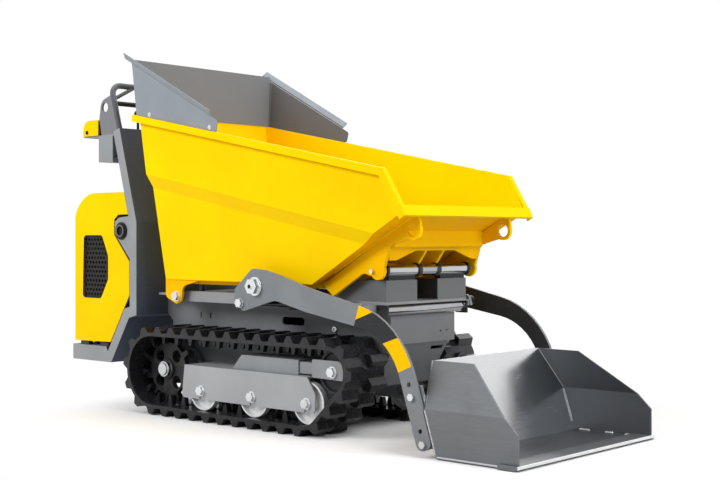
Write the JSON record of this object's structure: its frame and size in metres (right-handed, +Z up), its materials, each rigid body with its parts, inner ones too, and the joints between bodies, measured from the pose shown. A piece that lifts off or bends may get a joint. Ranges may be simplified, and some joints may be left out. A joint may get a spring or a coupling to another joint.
{
  "type": "tracked power carrier",
  "caption": "Tracked mini dumper with a front-tipping skip, spill guard, self-loading front bucket on curved arms, rubber tracks, tilting engine hood and rear console.",
  "frame": {"origin": "middle of the footprint on the ground, under the centre of the overall box", "axes": "+X forward towards the bucket, +Y to the machine's left, +Z up"},
  "size_m": [2.104, 0.75, 1.2816],
  "materials": {
    "yellow_paint": "satin powder coat",
    "grey_paint": "satin powder coat",
    "dark_paint": "satin",
    "black_paint": "satin",
    "black_rubber": "matt",
    "black_plastic": "fine texture",
    "zinc": "bright zinc plate",
    "polished_steel": "polished",
    "bare_steel": "satin",
    "chromed_rod": "polished",
    "nitrided_rod": "black nitride",
    "dark_casting": "painted casting"
  },
  "bodies": {
    "chassis": {"track_belt_left": "black_rubber", "track_frame_left": "grey_paint", "tension_beam_left": "grey_paint", "idler_fork_left": "grey_paint", "track_axles_left": "zinc", "drive_motor_left": "dark_casting", "track_belt_right": "black_rubber", "track_frame_right": "grey_paint", "tension_beam_right": "grey_paint", "idler_fork_right": "grey_paint", "track_axles_right": "zinc", "drive_motor_right": "dark_casting", "chassis_box": "dark_paint", "upper_deck": "grey_paint", "rear_frame": "grey_paint", "console": "grey_paint", "cross_bar": "polished_steel", "rubber_buffers": "black_rubber", "arm_pivot_pins": "zinc", "filler_port": "black_plastic", "hydraulic_tank": "black_plastic", "console_cover": "yellow_paint", "handle_rail": "grey_paint", "engine": "dark_casting", "hydraulic_pump": "dark_casting", "muffler": "bare_steel"},
    "sprocket_left": {"sprocket_left": "black_paint"},
    "idler_left": {"idler_left": "black_paint"},
    "roller_front_left": {"roller_front_left": "zinc"},
    "roller_middle_left": {"roller_middle_left": "zinc"},
    "roller_rear_left": {"roller_rear_left": "zinc"},
    "sprocket_right": {"sprocket_right": "black_paint"},
    "idler_right": {"idler_right": "black_paint"},
    "roller_front_right": {"roller_front_right": "zinc"},
    "roller_middle_right": {"roller_middle_right": "zinc"},
    "roller_rear_right": {"roller_rear_right": "zinc"},
    "skip": {"skip_tub": "yellow_paint", "skip_rim": "yellow_paint", "skip_underframe": "yellow_paint", "guard_sides": "grey_paint", "guard_rear": "grey_paint", "skip_bolts": "zinc", "hinge_shaft": "polished_steel"},
    "loader": {"arm_left": "grey_paint", "arm_right": "grey_paint", "bucket_shell": "bare_steel", "cutting_edge": "zinc", "bucket_brackets": "bare_steel", "loader_bolts": "zinc"},
    "tip_rod": {"tip_rod": "chromed_rod"},
    "tip_barrel": {"tip_barrel": "black_paint"},
    "lift_rod_left": {"lift_rod_left": "nitrided_rod"},
    "lift_rod_right": {"lift_rod_right": "nitrided_rod"},
    "lift_barrel_left": {"lift_barrel_left": "black_paint"},
    "lift_barrel_right": {"lift_barrel_right": "black_paint"},
    "travel_lever_left": {"travel_lever_left": "black_plastic"},
    "travel_lever_right": {"travel_lever_right": "black_plastic"},
    "function_lever": {"function_lever": "black_plastic"},
    "hood": {"hood_shell": "yellow_paint", "hood_grilles": "black_paint"}
  },
  "joints": [
    {"name": "sprocket_left_spin", "type": "hinge", "parent": "chassis", "child": "sprocket_left", "pos_m": [-0.537, 0.2375, 0.15705], "axis": [0, 1, 0], "continuous": true},
    {"name": "idler_left_spin", "type": "hinge", "parent": "chassis", "child": "idler_left", "pos_m": [0.31, 0.2375, 0.208], "axis": [0, 1, 0], "continuous": true},
    {"name": "roller_front_left_spin", "type": "hinge", "parent": "chassis", "child": "roller_front_left", "pos_m": [0.205, 0.2375, 0.1026], "axis": [0, 1, 0], "continuous": true},
    {"name": "roller_middle_left_spin", "type": "hinge", "parent": "chassis", "child": "roller_middle_left", "pos_m": [-0.044, 0.2375, 0.1026], "axis": [0, 1, 0], "continuous": true},
    {"name": "roller_rear_left_spin", "type": "hinge", "parent": "chassis", "child": "roller_rear_left", "pos_m": [-0.293, 0.2375, 0.1026], "axis": [0, 1, 0], "continuous": true},
    {"name": "sprocket_right_spin", "type": "hinge", "parent": "chassis", "child": "sprocket_right", "pos_m": [-0.537, -0.2375, 0.15705], "axis": [0, 1, 0], "continuous": true},
    {"name": "idler_right_spin", "type": "hinge", "parent": "chassis", "child": "idler_right", "pos_m": [0.31, -0.2375, 0.208], "axis": [0, 1, 0], "continuous": true},
    {"name": "roller_front_right_spin", "type": "hinge", "parent": "chassis", "child": "roller_front_right", "pos_m": [0.205, -0.2375, 0.1026], "axis": [0, 1, 0], "continuous": true},
    {"name": "roller_middle_right_spin", "type": "hinge", "parent": "chassis", "child": "roller_middle_right", "pos_m": [-0.044, -0.2375, 0.1026], "axis": [0, 1, 0], "continuous": true},
    {"name": "roller_rear_right_spin", "type": "hinge", "parent": "chassis", "child": "roller_rear_right", "pos_m": [-0.293, -0.2375, 0.1026], "axis": [0, 1, 0], "continuous": true},
    {"name": "skip_tip", "type": "hinge", "parent": "chassis", "child": "skip", "pos_m": [0.44, 0, 0.523], "axis": [0, 1, 0], "range_deg": [0, 60]},
    {"name": "tip_rod_pivot", "type": "hinge", "parent": "skip", "child": "tip_rod", "pos_m": [0.215, 0, 0.452], "axis": [0, 1, 0], "range_deg": [-75.72, 0]},
    {"name": "tip_barrel_slide", "type": "slide", "parent": "tip_rod", "child": "tip_barrel", "axis": [-0.8131, 0, -0.5821], "range_m": [0, 0.1979]},
    {"name": "loader_lift", "type": "hinge", "parent": "chassis", "child": "loader", "pos_m": [0.003, 0, 0.467], "axis": [0, 1, 0], "range_deg": [-125, 0]},
    {"name": "lift_rod_left_pivot", "type": "hinge", "parent": "loader", "child": "lift_rod_left", "pos_m": [-0.06724, 0.303, 0.41073], "axis": [0, 1, 0], "range_deg": [0, 126]},
    {"name": "lift_barrel_left_slide", "type": "slide", "parent": "lift_rod_left", "child": "lift_barrel_left", "axis": [-1, 0, -0.0028], "range_m": [0, 0.1571]},
    {"name": "lift_rod_right_pivot", "type": "hinge", "parent": "loader", "child": "lift_rod_right", "pos_m": [-0.06724, -0.303, 0.41073], "axis": [0, 1, 0], "range_deg": [0, 126]},
    {"name": "lift_barrel_right_slide", "type": "slide", "parent": "lift_rod_right", "child": "lift_barrel_right", "axis": [-1, 0, -0.0028], "range_m": [0, 0.1571]},
    {"name": "hood_open", "type": "hinge", "parent": "chassis", "child": "hood", "pos_m": [-1.04, 0, 0.23], "axis": [0, -1, 0], "range_deg": [0, 55]},
    {"name": "travel_lever_left_tilt", "type": "hinge", "parent": "chassis", "child": "travel_lever_left", "pos_m": [-0.868, 0.12, 1.015], "axis": [0, 1, 0], "range_deg": [-16, 16], "stiffness_Nm_per_rad": 2},
    {"name": "travel_lever_right_tilt", "type": "hinge", "parent": "chassis", "child": "travel_lever_right", "pos_m": [-0.868, -0.12, 1.015], "axis": [0, 1, 0], "range_deg": [-16, 16], "stiffness_Nm_per_rad": 2},
    {"name": "function_lever_tilt", "type": "hinge", "parent": "chassis", "child": "function_lever", "pos_m": [-0.868, 0, 1.015], "axis": [0, 1, 0], "range_deg": [-16, 16], "stiffness_Nm_per_rad": 2}
  ],
  "couplings": [
    {"joint": "idler_left_spin", "follows": "sprocket_left_spin", "ratio": 1.6456},
    {"joint": "roller_front_left_spin", "follows": "sprocket_left_spin", "ratio": 1.6897},
    {"joint": "roller_middle_left_spin", "follows": "sprocket_left_spin", "ratio": 1.6897},
    {"joint": "roller_rear_left_spin", "follows": "sprocket_left_spin", "ratio": 1.6897},
    {"joint": "idler_right_spin", "follows": "sprocket_right_spin", "ratio": 1.6456},
    {"joint": "roller_front_right_spin", "follows": "sprocket_right_spin", "ratio": 1.6897},
    {"joint": "roller_middle_right_spin", "follows": "sprocket_right_spin", "ratio": 1.6897},
    {"joint": "roller_rear_right_spin", "follows": "sprocket_right_spin", "ratio": 1.6897},
    {"joint": "tip_rod_pivot", "follows": "skip_tip", "ratio": -1.2453},
    {"joint": "tip_barrel_slide", "follows": "skip_tip", "m_per_rad": 0.1871},
    {"joint": "lift_rod_left_pivot", "follows": "loader_lift", "ratio": -1},
    {"joint": "lift_barrel_left_slide", "follows": "loader_lift", "m_per_rad": -0.071107},
    {"joint": "lift_rod_right_pivot", "follows": "loader_lift", "ratio": -1},
    {"joint": "lift_barrel_right_slide", "follows": "loader_lift", "m_per_rad": -0.071107}
  ]
}
